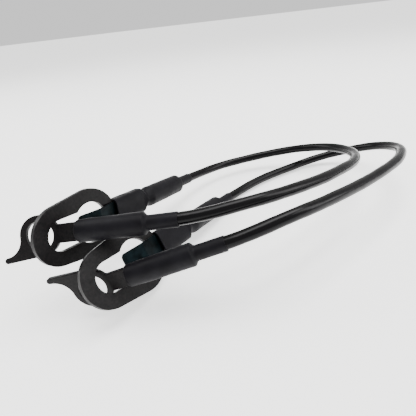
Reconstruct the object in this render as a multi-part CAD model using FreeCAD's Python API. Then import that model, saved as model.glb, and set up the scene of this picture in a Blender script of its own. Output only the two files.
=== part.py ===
import FreeCAD, Part
import math
import os

# A pair of plastic-coated wire-rope support cables, each bent into a loop.
# One end of each cable carries a keyhole plate with a leaf-spring retainer.
# The other end carries an eye plate with a pointed tail, and that eye is passed
# through the cable's own keyhole.  Millimetres, +Z up.  The pair lies on z = 0.
#
# Every end fitting is drawn in its own local frame: x runs out of the cable
# towards the plate, y lies across the plate, z is square to the plate, and the
# local origin is at the cable-side edge of the heat-shrink sleeve.

os.makedirs("parts", exist_ok=True)
Vector = FreeCAD.Vector

# cable
jacket_radius = 3.2
core_radius = 2.35
jacket_bore_radius = 2.4
cord_inset = 9.0            # how far the jacket runs into each sleeve
core_inset = 27.0           # how far the bare wire rope runs into each sleeve

# plates
plate_thickness = 2.4

# eye end
eye_sleeve_small_radius = 3.65
eye_sleeve_small_length = 13.8
eye_sleeve_radius = 5.5
eye_sleeve_length = 47.9
eye_ferrule_radius = 4.6
eye_ferrule_start = 16.5
eye_ferrule_end = 44.0
eye_center = 66.2
eye_outer_radius = 9.8
eye_hole_radius = 6.8
eye_tang_width = 9.0
eye_tang_tail_width = 7.6
eye_tang_start = 30.0
tail_notch_radius = 9.0     # concave edge between the eye and the tail's tip
tail_tip_radius = 1.4

# keyhole end
key_sleeve_small_radius = 3.65
key_sleeve_small_length = 15.1
key_barrel_radius = 6.4
key_barrel_end = 53.0
key_neck_radius = 4.9
key_flat_start = 57.0
key_flat_width = 14.8
key_flat_thickness = 8.2
key_sleeve_length = 80.8
key_ferrule_radius = 5.3
key_ferrule_start = 17.8
key_ferrule_end = 51.5
key_tang_start = 31.0
key_tang_tail_width = 8.8
key_tang_width = 12.8
key_hole_center = 97.1
key_hole_radius = 10.6
key_hole_outer_radius = 17.5
slot_offset = 17.9          # big hole centre to slot end centre
slot_radius = 7.6
slot_outer_radius = 14.7

# leaf-spring retainer, on the plate's outer face
leaf_thickness = 0.9
leaf_width = 12.0
leaf_root_start = 58.5
leaf_pivot = 82.4
leaf_bend = 92.8
leaf_tip = 105.8
leaf_rise = 1.8             # how far the bend stands off the root's plane
leaf_corner_radius = 2.0
leaf_gap = 0.12             # split between the clamped root and the moving blade
leaf_stand_off = 0.1        # between the leaf and the plate's face
rivet_x = 65.0
rivet_radius = 1.6
rivet_head_radius = 2.9
rivet_head_height = 0.9

# fitting clearance between pieces that are crimped or shrunk together
fit_gap = 0.03

# Cable routes from the eye end to the keyhole end.  The first and last runs lie
# along the end fittings, so they also set where each fitting is and points.
routes = {
    1: [(15.66, -24.55, 42.51), (28.97, -16.74, 43.3), (46.8, 2.8, 44), (58.1, 21.8, 42.2),
        (67.7, 44.9, 39), (74.2, 66, 36.4), (79.9, 94.7, 31.9), (75.5, 120.8, 27.8),
        (56.7, 140.6, 22.9), (29.2, 145.1, 17), (6.6, 137, 12.8), (-12.7, 120.5, 11),
        (-26.5, 98.2, 11.7), (-32.32, 71.16, 14.21), (-31.38, 55.36, 17.47)],
    2: [(38.43, -22.06, 32.08), (51.33, -13.67, 36.5), (67.3, 8.2, 39.3), (77.8, 30.6, 37.2),
        (88.6, 60.3, 33.9), (97.5, 86, 32.5), (104.2, 112.1, 31.2), (102, 141.7, 27.3),
        (84.4, 161, 19.4), (58.8, 163.6, 10.3), (37.1, 150.6, 4.8), (21.1, 130.5, 3.6),
        (7.7, 104.6, 3.8), (1.2, 71.16, 3.2), (0.95, 58.3, 5.13)],
}
eye_roll = {1: 25.8, 2: 11.2}       # turn of each plate about its own cable end
key_roll = {1: 7.6, 2: 31.8}
tail_side = {1: -1, 2: 1}           # the tail's tip lies below or above the eye
leaf_side = -1                      # the leaf is on the plate's -z face


def end_frame(inner, outer, roll):
    # local frame of an end fitting: x from inner to outer, y upwards then rolled about x
    x_axis = (outer - inner).normalize()
    level = Vector(-x_axis.y, x_axis.x, 0).normalize()
    y_level = x_axis.cross(level)
    if y_level.z < 0:
        y_level = y_level * -1
    z_level = x_axis.cross(y_level)
    angle = math.radians(roll)
    y_axis = y_level * math.cos(angle) + z_level * math.sin(angle)
    z_axis = x_axis.cross(y_axis)
    origin = outer - x_axis * cord_inset
    return FreeCAD.Placement(origin, FreeCAD.Rotation(x_axis, y_axis, z_axis, "XYZ"))


def route_path(points):
    # straight runs joined by tangent arcs; returns the wire and the arc radii
    edges = []
    radii = []
    last = points[0]
    for before, corner, after in zip(points, points[1:], points[2:]):
        run_in = corner - before
        run_out = after - corner
        turn = run_in.getAngle(run_out)
        tangent = 0.45 * min(run_in.Length, run_out.Length)
        way_in = Vector(run_in).normalize()
        way_out = Vector(run_out).normalize()
        start = corner - way_in * tangent
        end = corner + way_out * tangent
        radius = tangent / math.tan(turn / 2)
        inward = (way_out - way_in).normalize()
        middle = corner + inward * (radius / math.cos(turn / 2) - radius)
        edges.append(Part.LineSegment(last, start).toShape())
        edges.append(Part.Arc(start, middle, end).toShape())
        radii.append(radius)
        last = end
    edges.append(Part.LineSegment(last, points[-1]).toShape())
    return Part.Wire(edges), radii


def tube(path, radius):
    start = path.Edges[0].Vertexes[0].Point
    along = path.Edges[0].tangentAt(path.Edges[0].FirstParameter)
    ring = Part.Wire(Part.Circle(start, along, radius).toShape())
    return path.makePipeShell([ring], True, False)


def turned(profile):
    # solid of revolution about the local x axis from (x, radius) points
    outline = [Vector(x, r, 0) for x, r in profile]
    face = Part.Face(Part.makePolygon(outline + [outline[0]]))
    return face.revolve(Vector(0, 0, 0), Vector(1, 0, 0), 360)


def bar(start, end, width, low, high):
    return Part.makeBox(end - start, width, high - low, Vector(start, -width / 2, low))


def plate_bar(start, end, width):
    return bar(start, end, width, -plate_thickness / 2, plate_thickness / 2)


def disc(x, radius):
    base = Vector(x, 0, -plate_thickness / 2)
    return Part.makeCylinder(radius, plate_thickness, base)


def rod(start, end, radius):
    return Part.makeCylinder(radius, end - start, Vector(start, 0, 0), Vector(1, 0, 0))


def pear_outline(big_radius, small_radius):
    # outline of two circles on the plate's axis and their outer tangents
    lean = math.asin((big_radius - small_radius) / slot_offset)
    up_x = math.sin(lean)
    up_y = math.cos(lean)
    big = Vector(key_hole_center, 0, -plate_thickness / 2)
    small = big + Vector(slot_offset, 0, 0)
    big_top = big + Vector(up_x, up_y, 0) * big_radius
    big_low = big + Vector(up_x, -up_y, 0) * big_radius
    small_top = small + Vector(up_x, up_y, 0) * small_radius
    small_low = small + Vector(up_x, -up_y, 0) * small_radius
    back = big - Vector(big_radius, 0, 0)
    nose = small + Vector(small_radius, 0, 0)
    edges = [
        Part.Arc(big_top, back, big_low).toShape(),
        Part.LineSegment(big_low, small_low).toShape(),
        Part.Arc(small_low, nose, small_top).toShape(),
        Part.LineSegment(small_top, big_top).toShape(),
    ]
    return Part.Face(Part.Wire(edges))


def keyhole_cutter():
    big = Part.makeCylinder(key_hole_radius, 4 * plate_thickness,
                            Vector(key_hole_center, 0, -2 * plate_thickness))
    small_x = key_hole_center + slot_offset
    small = Part.makeCylinder(slot_radius, 4 * plate_thickness,
                              Vector(small_x, 0, -2 * plate_thickness))
    neck = bar(key_hole_center, small_x, 2 * slot_radius, -2 * plate_thickness, 2 * plate_thickness)
    return big.fuse([small, neck])


def keyhole_plate():
    outline = pear_outline(key_hole_outer_radius, slot_outer_radius)
    body = outline.extrude(Vector(0, 0, plate_thickness))
    tang = plate_bar(key_flat_start + 1, key_hole_center - key_hole_radius - 2, key_tang_width)
    tail = plate_bar(key_tang_start, key_flat_start + 1, key_tang_tail_width)
    rivet_hole = Part.makeCylinder(rivet_radius + fit_gap, 4 * plate_thickness,
                                   Vector(rivet_x, 0, -2 * plate_thickness))
    return body.fuse([tang, tail]).cut(keyhole_cutter().fuse(rivet_hole)).removeSplitter()


def tail_outline(side):
    # pointed tail: one edge tangent to the eye, a concave edge, and a round tip
    notch = Vector(eye_outer_radius + tail_notch_radius, 0, 0)
    reach = tail_notch_radius + tail_tip_radius
    lean = math.radians(6.5)
    tip = notch + Vector(-math.sin(lean), side * math.cos(lean), 0) * reach
    notch_touch = notch + (tip - notch) * (tail_notch_radius / reach)
    notch_middle = notch + Vector(-math.cos(math.radians(42)), side * math.sin(math.radians(42)), 0) \
        * tail_notch_radius
    spread = math.asin((eye_outer_radius - tail_tip_radius) / tip.Length)
    heading = math.atan2(tip.y, tip.x) + side * (math.pi / 2 - spread)
    normal = Vector(math.cos(heading), math.sin(heading), 0)
    tip_low = tip + normal * tail_tip_radius
    eye_low = normal * eye_outer_radius
    tip_far = tip + Vector(math.cos(0.35), side * math.sin(0.35), 0) * tail_tip_radius
    eye_side = Vector(eye_outer_radius, 0, 0)
    edges = [
        Part.LineSegment(eye_low, tip_low).toShape(),
        Part.Arc(tip_low, tip_far, notch_touch).toShape(),
        Part.Arc(notch_touch, notch_middle, eye_side).toShape(),
        Part.LineSegment(eye_side, Vector(0, 0, 0)).toShape(),
        Part.LineSegment(Vector(0, 0, 0), eye_low).toShape(),
    ]
    return Part.Face(Part.Wire(edges))


def eye_plate(side):
    tail = tail_outline(side).extrude(Vector(0, 0, plate_thickness))
    tail.translate(Vector(eye_center, 0, -plate_thickness / 2))
    tang = plate_bar(eye_ferrule_end + 0.5, eye_center, eye_tang_width)
    inner = plate_bar(eye_tang_start, eye_ferrule_end + 0.5, eye_tang_tail_width)
    hole = Part.makeCylinder(eye_hole_radius, 4 * plate_thickness,
                             Vector(eye_center, 0, -2 * plate_thickness))
    return disc(eye_center, eye_outer_radius).fuse([tail, tang, inner]).cut(hole).removeSplitter()


def ferrule(start, end, radius, tang_start, tang_width):
    # crimped steel barrel: wire rope enters one end, the plate's tang the other
    body = turned([(start, 0), (start, radius - 0.6), (start + 0.6, radius),
                   (end - 0.6, radius), (end, radius - 0.6), (end, 0)])
    rope = rod(start - 1, core_inset + 1, core_radius + fit_gap)
    half = plate_thickness / 2 + fit_gap
    tang = bar(tang_start - fit_gap, end + 1, tang_width + 2 * fit_gap, -half, half)
    return body.cut(rope.fuse(tang))


def eye_sleeve():
    r = eye_sleeve_radius
    small = eye_sleeve_small_radius
    step = eye_sleeve_small_length
    end = eye_sleeve_length
    outer = turned([(0, 0), (0, small), (step, small), (step + 1.8, r), (end - 1.6, r),
                    (end - 0.4, r - 0.6), (end, r - 1.3), (end, 0)])
    cord = rod(-1, cord_inset + fit_gap, jacket_radius + fit_gap)
    rope = rod(cord_inset, eye_ferrule_start, core_radius + fit_gap)
    barrel = rod(eye_ferrule_start - fit_gap, eye_ferrule_end + fit_gap, eye_ferrule_radius + fit_gap)
    half = plate_thickness / 2 + fit_gap
    slot = bar(eye_ferrule_end, end + 1, eye_tang_width + 2 * fit_gap, -half, half)
    return outer.cut(cord.fuse([rope, barrel, slot])).removeSplitter()


def flat_block(start, end, width, thickness):
    # rectangular block along x with long edges rounded by a third of its thickness
    block = bar(start, end, width, -thickness / 2, thickness / 2)
    long_edges = [e for e in block.Edges if abs(e.tangentAt(0).x) > 0.9]
    return block.makeFillet(thickness / 3, long_edges)


def keyhole_sleeve():
    r = key_barrel_radius
    small = key_sleeve_small_radius
    step = key_sleeve_small_length
    barrel = turned([(0, 0), (0, small), (step, small), (step + 2.2, r), (key_barrel_end - 2.5, r),
                     (key_barrel_end, key_neck_radius), (key_flat_start + 2, key_neck_radius),
                     (key_flat_start + 2, 0)])
    block = flat_block(key_flat_start, key_sleeve_length, key_flat_width, key_flat_thickness)
    cord = rod(-1, cord_inset + fit_gap, jacket_radius + fit_gap)
    rope = rod(cord_inset, key_ferrule_start, core_radius + fit_gap)
    crimp = rod(key_ferrule_start - fit_gap, key_ferrule_end + fit_gap, key_ferrule_radius + fit_gap)
    half = plate_thickness / 2 + fit_gap
    tail_slot = bar(key_ferrule_end, key_flat_start + 1, key_tang_tail_width + 2 * fit_gap, -half, half)
    slot = bar(key_flat_start + 1 - fit_gap, key_sleeve_length + 1, key_tang_width + 2 * fit_gap, -half, half)
    leaf_face = -half - leaf_stand_off - leaf_thickness - fit_gap
    leaf_slot = bar(leaf_root_start - fit_gap, key_sleeve_length + 1, leaf_width + 2 * fit_gap,
                    leaf_face, -half + fit_gap)
    rivet_room = Part.makeCylinder(rivet_head_radius + fit_gap, 6.0, Vector(rivet_x, 0, -3.5))
    return barrel.fuse(block).cut(
        cord.fuse([rope, crimp, tail_slot, slot, leaf_slot, rivet_room])).removeSplitter()


def leaf_levels():
    # local z of the leaf's two faces against the plate
    near = leaf_side * (plate_thickness / 2 + leaf_stand_off)
    return near, near + leaf_side * leaf_thickness


def leaf_root():
    near, far = leaf_levels()
    end = leaf_pivot - leaf_thickness / 2 - leaf_gap
    body = bar(leaf_root_start, end, leaf_width, min(near, far), max(near, far))
    hole = Part.makeCylinder(rivet_radius + fit_gap, 8, Vector(rivet_x, 0, -4))
    return body.cut(hole)


def leaf_blade():
    # strip that rises from the pivot to the bend and falls back to its tip
    near, far = leaf_levels()
    middle = (near + far) / 2
    crest = middle + leaf_side * leaf_rise
    half = leaf_thickness / 2
    tip_z = middle + leaf_side * 0.25
    upper = [Vector(leaf_pivot, 0, middle + half), Vector(leaf_bend, 0, crest + half),
             Vector(leaf_tip, 0, tip_z + half)]
    lower = [Vector(leaf_tip, 0, tip_z - half), Vector(leaf_bend, 0, crest - half),
             Vector(leaf_pivot, 0, middle - half)]
    outline = upper + lower + [upper[0]]
    side = Part.Face(Part.makePolygon(outline))
    strip = side.extrude(Vector(0, leaf_width, 0))
    strip.translate(Vector(0, -leaf_width / 2, 0))
    knuckle_end = Vector(leaf_pivot, -leaf_width / 2, middle)
    knuckle = Part.makeCylinder(half, leaf_width, knuckle_end, Vector(0, 1, 0))
    at_tip = [e for e in strip.Edges if min(v.X for v in e.Vertexes) > leaf_tip - 0.01]
    tip_edges = [e for e in at_tip if abs(e.Vertexes[0].Y - e.Vertexes[-1].Y) < 0.01]
    strip = strip.makeFillet(leaf_corner_radius, tip_edges)
    return strip.fuse(knuckle).removeSplitter()


def rivet():
    near, far = leaf_levels()
    top = plate_thickness / 2 + fit_gap
    bottom = far - fit_gap
    shank = Part.makeCylinder(rivet_radius, top - bottom, Vector(rivet_x, 0, bottom))
    head = Part.makeCylinder(rivet_head_radius, rivet_head_height, Vector(rivet_x, 0, top))
    formed = Part.makeCylinder(rivet_head_radius - 0.3, rivet_head_height,
                               Vector(rivet_x, 0, bottom - rivet_head_height))
    return shank.fuse([head, formed])


def save(name, shape, frame=None):
    if frame is not None:
        shape.Placement = frame
    if len(shape.Solids) == 1:
        shape = shape.Solids[0]
    shape.exportStep("parts/%s.step" % name)


def build_cable(number):
    points = [Vector(*p) for p in routes[number]]
    path, radii = route_path(points)
    print("cable", number, "length %.1f" % path.Length, "radii", [round(r) for r in radii])
    shell = tube(path, jacket_radius)
    core = tube(path, jacket_bore_radius)
    section = math.pi * jacket_radius ** 2
    print("  tube volume over section times length %.4f" % (shell.Volume / (section * path.Length)))
    save("cable_jacket_%d" % number, shell.cut(core))

    eye_frame = end_frame(points[1], points[0], eye_roll[number])
    key_frame = end_frame(points[-2], points[-1], key_roll[number])
    inner_path = tube(path, core_radius)
    reach = core_inset - cord_inset
    for frame in (eye_frame, key_frame):
        stub = rod(cord_inset, cord_inset + reach, core_radius)
        stub.Placement = frame
        inner_path = inner_path.fuse(stub)
    save("wire_rope_core_%d" % number, inner_path.removeSplitter())

    save("eye_plate_%d" % number, eye_plate(tail_side[number]), eye_frame)
    save("eye_ferrule_%d" % number,
         ferrule(eye_ferrule_start, eye_ferrule_end, eye_ferrule_radius, eye_tang_start,
                 eye_tang_tail_width), eye_frame)
    save("eye_sleeve_%d" % number, eye_sleeve(), eye_frame)

    save("keyhole_plate_%d" % number, keyhole_plate(), key_frame)
    save("keyhole_ferrule_%d" % number,
         ferrule(key_ferrule_start, key_ferrule_end, key_ferrule_radius, key_tang_start,
                 key_tang_tail_width), key_frame)
    save("keyhole_sleeve_%d" % number, keyhole_sleeve(), key_frame)
    save("leaf_root_%d" % number, leaf_root(), key_frame)
    save("leaf_blade_%d" % number, leaf_blade(), key_frame)
    save("leaf_rivet_%d" % number, rivet(), key_frame)


for cable_number in routes:
    build_cable(cable_number)
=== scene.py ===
import bmesh
import bpy
import math
import numpy as np
from mathutils import Matrix, Vector


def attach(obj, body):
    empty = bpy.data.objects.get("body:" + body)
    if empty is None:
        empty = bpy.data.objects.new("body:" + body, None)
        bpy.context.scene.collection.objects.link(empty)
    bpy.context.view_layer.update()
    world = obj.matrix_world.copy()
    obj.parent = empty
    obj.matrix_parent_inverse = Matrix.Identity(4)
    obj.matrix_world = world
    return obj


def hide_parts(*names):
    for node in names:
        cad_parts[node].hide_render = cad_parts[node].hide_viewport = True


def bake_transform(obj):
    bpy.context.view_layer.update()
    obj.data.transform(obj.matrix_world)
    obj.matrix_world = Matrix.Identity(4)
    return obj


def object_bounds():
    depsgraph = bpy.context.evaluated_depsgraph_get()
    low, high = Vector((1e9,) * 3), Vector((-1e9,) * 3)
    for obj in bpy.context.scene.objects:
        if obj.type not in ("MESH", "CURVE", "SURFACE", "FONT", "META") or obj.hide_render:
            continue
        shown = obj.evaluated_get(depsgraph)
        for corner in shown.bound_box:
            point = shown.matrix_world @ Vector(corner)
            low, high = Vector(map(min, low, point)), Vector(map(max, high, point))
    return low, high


# A pair of coated wire-rope support cables. Each is bent into a loop, with its
# eye plate passed through its own keyhole plate. Metres, +Z up.

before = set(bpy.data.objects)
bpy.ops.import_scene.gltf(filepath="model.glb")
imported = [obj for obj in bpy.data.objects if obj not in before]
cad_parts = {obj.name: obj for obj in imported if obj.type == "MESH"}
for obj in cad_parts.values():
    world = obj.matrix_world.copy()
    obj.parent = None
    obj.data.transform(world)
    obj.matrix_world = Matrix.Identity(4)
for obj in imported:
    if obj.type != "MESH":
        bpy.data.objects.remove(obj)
cadBox = [list(corner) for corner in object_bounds()]
mm = 0.001


def smoothStep(t):
    # 0 below 0, 1 above 1, 3t^2 - 2t^3 between
    t = np.clip(t, 0.0, 1.0)
    return t * t * (3.0 - 2.0 * t)


def unit(v):
    return v / np.linalg.norm(v)


def endFrame(inner, outer, roll, inset):
    # x from inner to outer, y the upward square to x turned by roll, z = x cross y
    x = unit(outer - inner)
    y = np.cross(x, unit(np.array([-x[1], x[0], 0.0])))
    y = y if y[2] > 0 else -y
    z = np.cross(x, y)
    turn = math.radians(roll)
    y = y * math.cos(turn) + z * math.sin(turn)
    return outer - x * inset, np.array([x, y, np.cross(x, y)])


def place(points, origin, axes):
    # local millimetres to metres in the row frame
    return (origin + points @ axes) * mm


def closedSkin(name, rings):
    # rings[i, j] is ring i's point j; neighbours join as quads and both ends close on their mean
    rows, cols = rings.shape[:2]
    i, j = np.meshgrid(np.arange(rows - 1), np.arange(cols), indexing="ij")
    k = (j + 1) % cols
    quads = np.stack([i * cols + j, (i + 1) * cols + j, (i + 1) * cols + k, i * cols + k], -1)
    quads = quads.reshape(-1, 4)
    around = np.arange(cols)
    first, last = rows * cols, rows * cols + 1
    head = np.stack([np.full(cols, first), around, (around + 1) % cols], -1)
    base = (rows - 1) * cols
    tail = np.stack([np.full(cols, last), base + (around + 1) % cols, base + around], -1)
    points = np.concatenate([rings.reshape(-1, 3), [rings[0].mean(0), rings[-1].mean(0)]])
    a, b, c, d = (points[quads[:, n]] for n in range(4))
    halves = np.cross(b, c), np.cross(c, d)
    volume = sum(np.einsum("ij,ij->i", a, half).sum() for half in halves)     # six times the volume
    if volume < 0:
        quads, head, tail = quads[:, ::-1], head[:, ::-1], tail[:, ::-1]
    mesh = bpy.data.meshes.new(name)
    mesh.from_pydata(points.tolist(), [], quads.tolist() + head.tolist() + tail.tolist())
    mesh.polygons.foreach_set("use_smooth", np.ones(len(mesh.polygons), dtype=bool))
    mesh.update()
    piece = bpy.data.objects.new(name, mesh)
    bpy.context.scene.collection.objects.link(piece)
    return piece


def finishPiece(piece, material, body=None, replaced=()):
    piece.data.materials.clear()
    piece.data.materials.append(material)
    if body:
        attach(piece, body)
    if replaced:
        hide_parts(*replaced)
    return piece


def linear(code):
    # sRGB hex to linear, the usual two-part curve
    s = np.array([int(code[n:n + 2], 16) / 255 for n in (1, 3, 5)])
    rgb = np.where(s <= 0.04045, s / 12.92, ((s + 0.055) / 1.055) ** 2.4)
    return (*rgb.tolist(), 1.0)


def addNode(tree, kind, settings=(), links=()):
    # one node, its settings (names or socket names) and its incoming links
    node = tree.nodes.new(kind)
    for key, value in dict(settings).items():
        if key in node.inputs:
            node.inputs[key].default_value = value
        else:
            setattr(node, key, value)
    for socket, source in dict(links).items():
        tree.links.new(source, node.inputs[socket])
    return node


def startMaterial(name, **values):
    material = bpy.data.materials.new(name)
    material.use_nodes = True
    tree = material.node_tree
    shader = tree.nodes["Principled BSDF"]
    for key, value in values.items():
        shader.inputs[key.replace("_", " ")].default_value = value
    spot = addNode(tree, "ShaderNodeTexCoord").outputs["Object"]
    return material, tree, shader, spot


def tint(tree, spot, size, low, high, at=(0.35, 0.65), detail=3.0):
    # two colours mixed by a noise whose lumps are about size mm across
    lumps = addNode(tree, "ShaderNodeTexNoise", {"Scale": 1 / (size * mm), "Detail": detail}, {"Vector": spot})
    ramp = addNode(tree, "ShaderNodeValToRGB", (), {"Fac": lumps.outputs["Fac"]})
    ramp.color_ramp.elements[0].position, ramp.color_ramp.elements[1].position = at
    ramp.color_ramp.elements[0].color = linear(low)
    ramp.color_ramp.elements[1].color = linear(high)
    return ramp.outputs["Color"]


def roughen(tree, shader, spot, size, low, high):
    # roughness between low and high, in patches about size mm across
    patches = addNode(tree, "ShaderNodeTexNoise", {"Scale": 1 / (size * mm), "Detail": 4.0}, {"Vector": spot})
    spread = addNode(tree, "ShaderNodeMapRange",
                     {"To Min": low, "To Max": high, "From Min": 0.3, "From Max": 0.7},
                     {"Value": patches.outputs["Fac"]})
    tree.links.new(spread.outputs["Result"], shader.inputs["Roughness"])


def grain(tree, shader, spot, size, strength, depth, detail=2.0):
    # fine bumps about size mm apart and depth mm high
    dots = addNode(tree, "ShaderNodeTexNoise", {"Scale": 1 / (size * mm), "Detail": detail}, {"Vector": spot})
    bump = addNode(tree, "ShaderNodeBump", {"Strength": strength, "Distance": depth * mm},
                   {"Height": dots.outputs["Fac"]})
    tree.links.new(bump.outputs["Normal"], shader.inputs["Normal"])


def extrudedVinyl():
    # plasticised PVC drawn over the rope: smooth and glossy, with long soft highlights
    # and faint flow waves 9 mm long left by the die; a low specular level keeps it near black
    material, tree, shader, spot = startMaterial("glossExtrudedVinyl", IOR=1.52, Coat_Weight=0.03,
                                                 Specular_IOR_Level=0.12, Coat_Roughness=0.1)
    tree.links.new(tint(tree, spot, 17.0, "#020203", "#050406"), shader.inputs["Base Color"])
    roughen(tree, shader, spot, 9.0, 0.2, 0.27)
    grain(tree, shader, spot, 9.0, 0.25, 0.6)
    return material


def heatShrink():
    # cross-linked polyolefin tube, shrunk on hot: a dull, slightly purple charcoal with
    # a skin of 0.6 mm orange peel and paler rubbed patches
    material, tree, shader, spot = startMaterial("mattePolyolefinHeatShrink", IOR=1.5, Specular_IOR_Level=0.12)
    tree.links.new(tint(tree, spot, 6.7, "#050408", "#0c0b10", detail=5.0), shader.inputs["Base Color"])
    roughen(tree, shader, spot, 3.8, 0.42, 0.58)
    grain(tree, shader, spot, 0.6, 0.22, 0.2, 4.0)
    return material


def powderCoat():
    # epoxy-polyester powder coat on laser-cut plate: satin black with 0.5 mm peel and
    # a brown cast in thin spots
    material, tree, shader, spot = startMaterial("satinPowderCoatedSteel", IOR=1.5, Specular_IOR_Level=0.14)
    tree.links.new(tint(tree, spot, 1.1, "#040405", "#110e0f", detail=6.0), shader.inputs["Base Color"])
    roughen(tree, shader, spot, 2.4, 0.3, 0.46)
    grain(tree, shader, spot, 0.5, 0.35, 0.2, 4.0)
    return material


def bluedSpringSteel():
    # tempered strip with a dark oxide: metallic, blue to teal, with drawing lines along it
    material, tree, shader, spot = startMaterial("bluedTemperedSpringSteel", Metallic=1.0)
    tree.links.new(tint(tree, spot, 5.0, "#080c0d", "#131c1f", detail=4.0), shader.inputs["Base Color"])
    roughen(tree, shader, spot, 2.0, 0.34, 0.5)
    grain(tree, shader, spot, 0.4, 0.2, 0.1)
    return material


def zincPlatedStrand():
    # drawn galvanised wire: grey and slightly frosted
    material, tree, shader, spot = startMaterial("galvanisedWireStrand", Metallic=1.0)
    tree.links.new(tint(tree, spot, 1.4, "#7c7f82", "#a9acae"), shader.inputs["Base Color"])
    roughen(tree, shader, spot, 1.1, 0.3, 0.5)
    return material


def crimpedSteel():
    # cold-pressed low-carbon steel, bare and faintly oiled
    material, tree, shader, spot = startMaterial("coldPressedBareSteel", Metallic=1.0)
    tree.links.new(tint(tree, spot, 2.0, "#6e6c69", "#8e8c88"), shader.inputs["Base Color"])
    roughen(tree, shader, spot, 1.4, 0.28, 0.45)
    grain(tree, shader, spot, 0.7, 0.15, 0.1)
    return material


vinyl = extrudedVinyl()
shrink = heatShrink()
coat = powderCoat()
blued = bluedSpringSteel()
strand = zincPlatedStrand()
bareSteel = crimpedSteel()
print("materials made")


cameraView = {
    "sensor": 36.0, "near": 0.005,
    "location": (0.1034, -0.114, 0.1201),
    "right": (0.8456, 0.5237, -0.1033),
    "up": (-0.1751, 0.4550, 0.8731),
    "lens": 27.69,
    "shift": (0.0157, -0.0293),
}

cameraData = bpy.data.cameras.new("viewCamera")
cameraData.sensor_width = cameraView["sensor"]
cameraData.lens = cameraView["lens"]
cameraData.shift_x, cameraData.shift_y = cameraView["shift"]
cameraData.clip_start = cameraView["near"]
camera = bpy.data.objects.new("viewCamera", cameraData)
bpy.context.scene.collection.objects.link(camera)
rightWay = Vector(cameraView["right"]).normalized()
upWay = Vector(cameraView["up"])
upWay = (upWay - rightWay * upWay.dot(rightWay)).normalized()
backWay = rightWay.cross(upWay)
turnMatrix = Matrix((rightWay, upWay, backWay)).transposed().to_4x4()
camera.matrix_world = Matrix.Translation(cameraView["location"]) @ turnMatrix
bpy.context.scene.camera = camera


# the routes' points in millimetres, eye end first
routes = {
    1: [(15.66, -24.55, 42.51), (28.97, -16.74, 43.3), (46.8, 2.8, 44), (58.1, 21.8, 42.2),
        (67.7, 44.9, 39), (74.2, 66, 36.4), (79.9, 94.7, 31.9), (75.5, 120.8, 27.8),
        (56.7, 140.6, 22.9), (29.2, 145.1, 17), (6.6, 137, 12.8), (-12.7, 120.5, 11),
        (-26.5, 98.2, 11.7), (-32.32, 71.16, 14.21), (-31.38, 55.36, 17.47)],
    2: [(38.43, -22.06, 32.08), (51.33, -13.67, 36.5), (67.3, 8.2, 39.3), (77.8, 30.6, 37.2),
        (88.6, 60.3, 33.9), (97.5, 86, 32.5), (104.2, 112.1, 31.2), (102, 141.7, 27.3),
        (84.4, 161, 19.4), (58.8, 163.6, 10.3), (37.1, 150.6, 4.8), (23.6, 129, 3.6),
        (10.2, 103.1, 3.8), (1.2, 71.16, 3.2), (0.95, 58.3, 5.13)],
}
rolls = {1: (25.8, 7.6), 2: (11.2, 31.8)}

cable = {
    "diameter": 6.4,
    "inset": 9.0,           # jacket inside each sleeve
    "coreReach": 18.0,      # rope past the jacket's end
    "length": {1: 340.8, 2: 362.5},
    "lineSteps": 24,
    "around": 40,
    "waveHeight": 0.035,    # flow waves on the jacket
    "waveRuns": (23, 9.5, 41),
    "strands": 6,
    "strandPitch": 31.0,
    "strandDip": 1.95, "strandBulge": 0.4,
    "ropeAround": 48,
    "ropeEndRings": 20,
}


def smoothLine(name, points):
    # the route's NURBS spline as evenly read points, shape (n, 3), in metres
    curve = bpy.data.curves.new(name, "CURVE")
    curve.dimensions = "3D"
    curve.resolution_u = cable["lineSteps"]
    spline = curve.splines.new("NURBS")
    spline.points.add(len(points) - 1)
    spline.points.foreach_set("co", [c for p in points for c in (p[0] * mm, p[1] * mm, p[2] * mm, 1.0)])
    spline.order_u = 3
    spline.use_endpoint_u = True
    holder = bpy.data.objects.new(name, curve)
    bpy.context.scene.collection.objects.link(holder)
    bpy.context.view_layer.update()
    line = bpy.data.meshes.new_from_object(holder.evaluated_get(bpy.context.evaluated_depsgraph_get()))
    read = np.zeros(len(line.vertices) * 3)
    line.vertices.foreach_get("co", read)
    bpy.data.objects.remove(holder)
    bpy.data.curves.remove(curve)
    bpy.data.meshes.remove(line)
    return read.reshape(-1, 3)


def alongLine(line):
    # running length, and a side and an over direction at each point: side = tangent x up
    steps = np.linalg.norm(np.diff(line, axis=0), axis=1)
    run = np.concatenate([[0.0], np.cumsum(steps)])
    tangent = np.gradient(line, run, axis=0)
    tangent /= np.linalg.norm(tangent, axis=1)[:, None]
    side = np.cross(tangent, [0.0, 0.0, 1.0])
    side /= np.linalg.norm(side, axis=1)[:, None]
    return run, side, np.cross(side, tangent)


def jacketSkin(name, line):
    # radius R - 2h + h (sin(2 pi s / 23) + sin(2 pi s / 9.5) / 3 + sin(2 pi s / 41 + a)) at run s
    # in mm and angle a, with square ends
    run, side, over = alongLine(line)
    s = run / mm
    angle = np.linspace(0, 2 * np.pi, cable["around"], endpoint=False)
    h = cable["waveHeight"]
    longRun, shortRun, twistRun = cable["waveRuns"]
    wave = h * (np.sin(2 * np.pi * s / longRun) + np.sin(2 * np.pi * s / shortRun) / 3)[:, None] \
        + h * np.sin(2 * np.pi * s[:, None] / twistRun + angle)
    radius = (cable["diameter"] / 2 - 2 * h + wave) * mm
    rings = line[:, None] + radius[..., None] * (
        np.cos(angle)[None, :, None] * side[:, None] + np.sin(angle)[None, :, None] * over[:, None])
    return closedSkin(name, rings)


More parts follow.
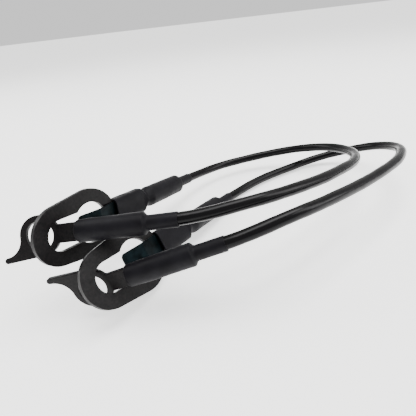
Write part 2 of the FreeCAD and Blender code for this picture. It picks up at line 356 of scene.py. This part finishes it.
def ropeSkin(name, line):
    # six strands: radius 1.95 + 0.4 |cos(3 (angle - 2 pi s / 31))| at run s in mm
    run, side, over = alongLine(line)
    angle = np.linspace(0, 2 * np.pi, cable["ropeAround"], endpoint=False)
    twist = angle[None, :] - 2 * np.pi * (run / mm / cable["strandPitch"])[:, None]
    bulge = cable["strandBulge"] * np.abs(np.cos(cable["strands"] / 2 * twist))
    radius = (cable["strandDip"] + bulge) * mm
    rings = line[:, None] + radius[..., None] * (
        np.cos(angle)[None, :, None] * side[:, None] + np.sin(angle)[None, :, None] * over[:, None])
    return closedSkin(name, rings)


for number, points in routes.items():
    body = "cable_%d" % number
    line = smoothLine("route%d" % number, points)
    jacket = jacketSkin("cableJacket%d" % number, line)
    finishPiece(jacket, vinyl, body, ["cable_jacket_%d" % number])
    reach = cable["coreReach"] * mm
    headWay, tailWay = unit(line[0] - line[1]), unit(line[-1] - line[-2])
    out = np.linspace(1.0, 0.05, cable["ropeEndRings"])[:, None] * reach
    ropeLine = np.concatenate([line[0] + headWay * out, line, line[-1] + tailWay * out[::-1]])
    rope = ropeSkin("wireRope%d" % number, ropeLine)
    finishPiece(rope, strand, body, ["wire_rope_core_%d" % number])
print("cables laid")


eyeSleeve = {
    "small": 3.65, "smallEnd": 13.8, "step": 2.2,
    "large": 5.5, "end": 47.9,
    "mouth": 3.24, "mouthDepth": 9.0,
    "squeezeFrom": 38.5, "squeezeRun": 9.0, "squeezeWide": 0.02, "squeezeDeep": 0.1,
    "marks": 0.06,          # shrink marks, mm high
    "around": 64, "thinRings": 30, "thickRings": 60,
}

keySleeve = {
    "small": 3.65, "smallEnd": 15.1, "step": 2.6,
    "barrel": 6.4, "barrelEnd": 51.5,
    "neck": 5.0, "neckAt": 55.0,
    "shoulderAt": 58.2, "flatWidth": 14.8, "flatThick": 8.2, "end": 80.8,
    "mouth": 3.24, "mouthDepth": 9.0,
    "marks": 0.011,         # shrink marks, as a share of the radius
    "around": 96, "bodyRings": 190,
}


def unevenness(x, angle, size, seed, steps):
    # shrink marks: size (sin(x / 3.1 + 2a + seed) + 0.7 sin(x / 1.7 - 3a + 2 seed)
    # + 0.8 sin(x / 5.9 + a - seed)) / 2.5 at angle a, dying out within 6 mm of each step
    calm = 1.0
    for spot in steps:
        calm = calm * smoothStep(np.abs(x - spot) / 6.0)
    return calm * size * (np.sin(x / 3.1 + 2 * angle + seed) + 0.7 * np.sin(x / 1.7 - 3 * angle + 2 * seed)
                   + 0.8 * np.sin(x / 5.9 + angle - seed)) / 2.5


def eyeSleeveSkin(name, origin, axes, seed):
    # profile (x, r) turned about x: bore, rolled lip, thin part, step, thick part and dished end
    p = eyeSleeve
    stepX = np.linspace(0, 1, 10)
    lip = np.linspace(0, np.pi, 9)
    edge = np.linspace(0, np.pi / 2, 8)
    thickStart = p["smallEnd"] + p["step"]
    x = np.concatenate([
        [p["mouthDepth"], 0.3],
        0.2 - 0.2 * np.sin(lip),
        np.linspace(0.8, p["smallEnd"], p["thinRings"]),
        p["smallEnd"] + p["step"] * stepX[1:],
        np.linspace(thickStart + 0.5, p["end"] - 1.3, p["thickRings"]),
        p["end"] - 1.1 + 1.1 * np.sin(edge),
        [p["end"] - 0.3, p["end"] - 1.6, p["end"] - 1.9]])
    middle = (p["mouth"] + p["small"]) / 2
    half = (p["small"] - p["mouth"]) / 2
    r = np.concatenate([
        [p["mouth"], p["mouth"]],
        middle - half * np.cos(lip),
        np.full(p["thinRings"], p["small"]),
        p["small"] + (p["large"] - p["small"]) * smoothStep(stepX[1:]),
        np.full(p["thickRings"], p["large"]),
        p["large"] - 1.0 + 1.0 * np.cos(edge),
        [p["large"] - 1.6, p["large"] - 2.0, 0.4]])
    angle = np.linspace(0, 2 * np.pi, p["around"], endpoint=False)
    outside = ((r > p["small"] - 0.05) & (x > 0.5) & (x < p["end"] - 0.6))[:, None]
    marks = unevenness(x[:, None], angle[None, :], p["marks"], seed, (p["smallEnd"] + 1.0,))
    radius = r[:, None] + np.where(outside, marks, 0.0)
    squeeze = smoothStep((x - p["squeezeFrom"]) / p["squeezeRun"])[:, None]     # it draws in over the tang
    y = radius * np.cos(angle) * (1 - p["squeezeWide"] * squeeze)
    z = radius * np.sin(angle) * (1 - p["squeezeDeep"] * squeeze)
    local = np.stack([np.broadcast_to(x[:, None], radius.shape), y, z], -1)
    return closedSkin(name, place(local, origin, axes))


def keySleeveSkin(name, origin, axes, seed):
    # rings of the superellipse |y/a|^n + |z/b|^n = 1 whose a, b, n and centre run along x:
    # round thin part, step, round barrel, neck, then a flat block with a lobed shoulder
    p = keySleeve
    lip = np.linspace(0, np.pi, 9)
    edge = np.linspace(0, np.pi / 2, 7)
    x = np.concatenate([
        [p["mouthDepth"], 0.3],
        0.2 - 0.2 * np.sin(lip),
        np.linspace(0.8, p["end"] - 0.5, p["bodyRings"]),
        p["end"] - 0.4 + 0.4 * np.sin(edge),
        [p["end"] - 0.1, p["end"] - 2.4, p["end"] - 2.6]])
    bodyStart = 2 + len(lip)
    bodyStop = bodyStart + p["bodyRings"]
    middle = (p["mouth"] + p["small"]) / 2
    half = (p["small"] - p["mouth"]) / 2
    body = x[bodyStart:bodyStop]
    rise = smoothStep((body - p["smallEnd"]) / p["step"])
    waist = smoothStep((body - p["barrelEnd"] + 2.0) / (p["neckAt"] - p["barrelEnd"] + 2.0))
    flat = smoothStep((body - p["neckAt"]) / (p["shoulderAt"] - p["neckAt"]))
    roundR = p["small"] + (p["barrel"] - p["small"]) * rise + (p["neck"] - p["barrel"]) * waist
    a = roundR + (p["flatWidth"] / 2 - roundR) * flat
    b = roundR + (p["flatThick"] / 2 - roundR) * flat
    n = 2.0 + 2.2 * flat
    rounded = 0.35 * np.cos(edge) - 0.35
    endA = p["flatWidth"] / 2 + np.concatenate([rounded, [-1.0, -1.2, -5.0]])
    endB = p["flatThick"] / 2 + np.concatenate([rounded, [-1.0, -1.2, -3.6]])
    lipR = np.concatenate([[p["mouth"], p["mouth"]], middle - half * np.cos(lip)])
    a = np.concatenate([lipR, a, endA])[:, None]
    b = np.concatenate([lipR, b, endB])[:, None]
    n = np.concatenate([np.full(bodyStart, 2.0), n, np.full(len(endA), 4.2)])[:, None]
    angle = np.linspace(0, 2 * np.pi, p["around"], endpoint=False)[None, :]
    c, s = np.cos(angle), np.sin(angle)
    reach = (np.abs(c) ** n + np.abs(s) ** n) ** (-1 / n)
    skin = np.zeros(len(x))
    skin[bodyStart + 1:bodyStop - 1] = 1.0
    marks = unevenness(x[:, None], angle, p["marks"], seed, (p["smallEnd"] + 1.0, p["neckAt"]))
    grow = 1 + skin[:, None] * marks
    y, z = a * reach * c * grow, b * reach * s * grow
    local = np.stack([np.broadcast_to(x[:, None], y.shape), y, z], -1)
    return closedSkin(name, place(local, origin, axes))


for number, points in routes.items():
    body = "cable_%d" % number
    spots = np.array(points, float)
    eyeOrigin, eyeAxes = endFrame(spots[1], spots[0], rolls[number][0], cable["inset"])
    keyOrigin, keyAxes = endFrame(spots[-2], spots[-1], rolls[number][1], cable["inset"])
    sleeve = eyeSleeveSkin("eyeSleeve%d" % number, eyeOrigin, eyeAxes, 1.3 * number)
    finishPiece(sleeve, shrink, body, ["eye_sleeve_%d" % number])
    sleeve = keySleeveSkin("keyholeSleeve%d" % number, keyOrigin, keyAxes, 2.1 * number)
    finishPiece(sleeve, shrink, body, ["keyhole_sleeve_%d" % number])
print("sleeves shrunk on")


leaf = {
    "rootStart": 58.5, "pivot": 82.4, "bend": 92.8, "tip": 105.8,
    "width": 12.0, "thickness": 0.9, "rise": 1.8, "tipDrop": 0.25, "corner": 2.0,
    "offset": -(1.2 + 0.1 + 0.45),      # half the plate, the gap and half the strip
    "easeSteps": 23, "squareness": 0.35,
    "blendFrom": -1.0, "blendTo": 3.0,  # along x from the pivot
}


def leafSkin(name, origin, axes):
    # a strip: height flat to the pivot, up to the bend, down to the tip, with both turns
    # eased over about 0.6 mm; half width shrinks by r - sqrt(r^2 - d^2) over the tip's last r
    p = leaf
    x = np.concatenate([np.linspace(p["rootStart"], p["tip"] - p["corner"], 90),
                        p["tip"] - p["corner"] + p["corner"] * np.sin(np.linspace(0.1, np.pi / 2, 14))])
    fine = np.linspace(p["rootStart"] - 3, p["tip"] + 3, 2000)
    bent = np.interp(fine, [p["pivot"], p["bend"], p["tip"]], [0.0, -p["rise"], -p["tipDrop"]])
    window = np.hanning(p["easeSteps"])
    eased = np.convolve(bent, window / window.sum(), mode="same")
    height = p["offset"] + np.interp(x, fine, eased)
    past = np.clip((x - (p["tip"] - p["corner"])) / p["corner"], 0, 1)
    halfWidth = p["width"] / 2 - p["corner"] * (1 - np.sqrt(1 - past ** 2))
    t = np.linspace(0, 2 * np.pi, 56, endpoint=False)
    # section: rounded rectangle, a superellipse in the thickness and a straight run across
    across = np.sign(np.cos(t)) * np.abs(np.cos(t)) ** p["squareness"]
    deep = np.sign(np.sin(t)) * np.abs(np.sin(t)) ** p["squareness"]
    edgeRound = p["thickness"] / 2
    y = (halfWidth[:, None] - edgeRound) * across + edgeRound * np.cos(t)
    z = height[:, None] + edgeRound * deep
    local = np.stack([np.broadcast_to(x[:, None], y.shape), y, z], -1)
    return closedSkin(name, place(local, origin, axes))


for number, points in routes.items():
    spots = np.array(points, float)
    keyOrigin, keyAxes = endFrame(spots[-2], spots[-1], rolls[number][1], cable["inset"])
    strip = leafSkin("leafSpring%d" % number, keyOrigin, keyAxes)
    finishPiece(strip, blued, None, ["leaf_root_%d" % number, "leaf_blade_%d" % number])
    ends = np.array([[leaf["pivot"] + leaf["blendFrom"], 0, leaf["offset"]],
                     [leaf["pivot"] + leaf["blendTo"], 0, leaf["offset"]]])
    ends = place(ends, keyOrigin, keyAxes)
    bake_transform(strip)
print("leaf springs bent")


plate = {
    "edgeRound": 0.4,       # deburred and coated edges
    "roundSteps": 3,
    "cornerAngle": 35.0,
    "merge": 0.01,          # points nearer than this are one
    "flatAngle": 1.0,       # faces within this many degrees are one
}


def easedPlate(name, node):
    # copy of a CAD plate, its coplanar triangles joined and its edges rounded
    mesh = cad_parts[node].data.copy()
    mesh.name = name
    piece = bpy.data.objects.new(name, mesh)
    bpy.context.scene.collection.objects.link(piece)
    shape = bmesh.new()
    shape.from_mesh(mesh)
    bmesh.ops.remove_doubles(shape, verts=shape.verts, dist=plate["merge"] * mm)
    bmesh.ops.dissolve_limit(shape, angle_limit=math.radians(plate["flatAngle"]),
                             verts=shape.verts, edges=shape.edges)
    shape.to_mesh(mesh)
    shape.free()
    mesh.polygons.foreach_set("use_smooth", np.ones(len(mesh.polygons), dtype=bool))
    edge = piece.modifiers.new("edgeRound", "BEVEL")
    edge.width = plate["edgeRound"] * mm
    edge.segments = plate["roundSteps"]
    edge.limit_method = "ANGLE"
    edge.angle_limit = math.radians(plate["cornerAngle"])
    shade = piece.modifiers.new("shade", "WEIGHTED_NORMAL")
    shade.keep_sharp = True
    return piece


for number in routes:
    for kind in ("eye", "keyhole"):
        node = "%s_plate_%d" % (kind, number)
        cut = easedPlate("%sPlate%d" % (kind, number), node)
        finishPiece(cut, coat, "cable_%d" % number, [node])
    for node in ("eye_ferrule_%d", "keyhole_ferrule_%d", "leaf_rivet_%d"):
        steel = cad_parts[node % number]
        steel.data.materials.clear()
        steel.data.materials.append(bareSteel)
print("plates eased")


# the paper glows faintly, which keeps it pale without stronger lamps
studio = {"floor": 80.0, "gap": 0.05, "pale": "#fbfbfa", "air": 0.95, "glow": 1.0}

floorMesh = bpy.data.meshes.new("studioFloor")
h = studio["floor"] / 2
low = cadBox[0][2] - studio["gap"] * mm
floorMesh.from_pydata([(-h, -h, low), (h, -h, low), (h, h, low), (-h, h, low)], [], [(0, 1, 2, 3)])
floor = bpy.data.objects.new("studioFloor", floorMesh)
bpy.context.scene.collection.objects.link(floor)
floorMaterial, tree, shader, spot = startMaterial("paleStudioPaper", Roughness=0.9,
                                                  Emission_Strength=studio["glow"])
shader.inputs["Emission Color"].default_value = linear(studio["pale"])
shader.inputs["Base Color"].default_value = linear(studio["pale"])
floorMesh.materials.append(floorMaterial)

world = bpy.data.worlds.new("studioAir")
world.use_nodes = True
world.node_tree.nodes["Background"].inputs["Color"].default_value = linear("#ffffff")
world.node_tree.nodes["Background"].inputs["Strength"].default_value = studio["air"]
bpy.context.scene.world = world

lamps = {
    "overhead": {"at": (0.1, 0.25, 1.1), "aim": (0.02, 0.05, 0.0), "size": (0.6, 1.1), "power": 16.0},
    "leftBank": {"at": (-0.9, -0.2, 0.7), "aim": (0.0, 0.05, 0.02), "size": (0.5, 0.9), "power": 8.0},
    "rightBank": {"at": (0.9, 0.5, 0.6), "aim": (0.05, 0.05, 0.02), "size": (0.4, 0.8), "power": 6.0},
}
for name, lamp in lamps.items():
    light = bpy.data.lights.new(name, "AREA")
    light.shape = "RECTANGLE"
    light.size, light.size_y = lamp["size"]
    light.energy = lamp["power"]
    bulb = bpy.data.objects.new(name, light)
    bulb.location = lamp["at"]
    bulb.rotation_euler = (Vector(lamp["aim"]) - Vector(lamp["at"])).to_track_quat("-Z", "Y").to_euler()
    bpy.context.scene.collection.objects.link(bulb)
print("studio lit")
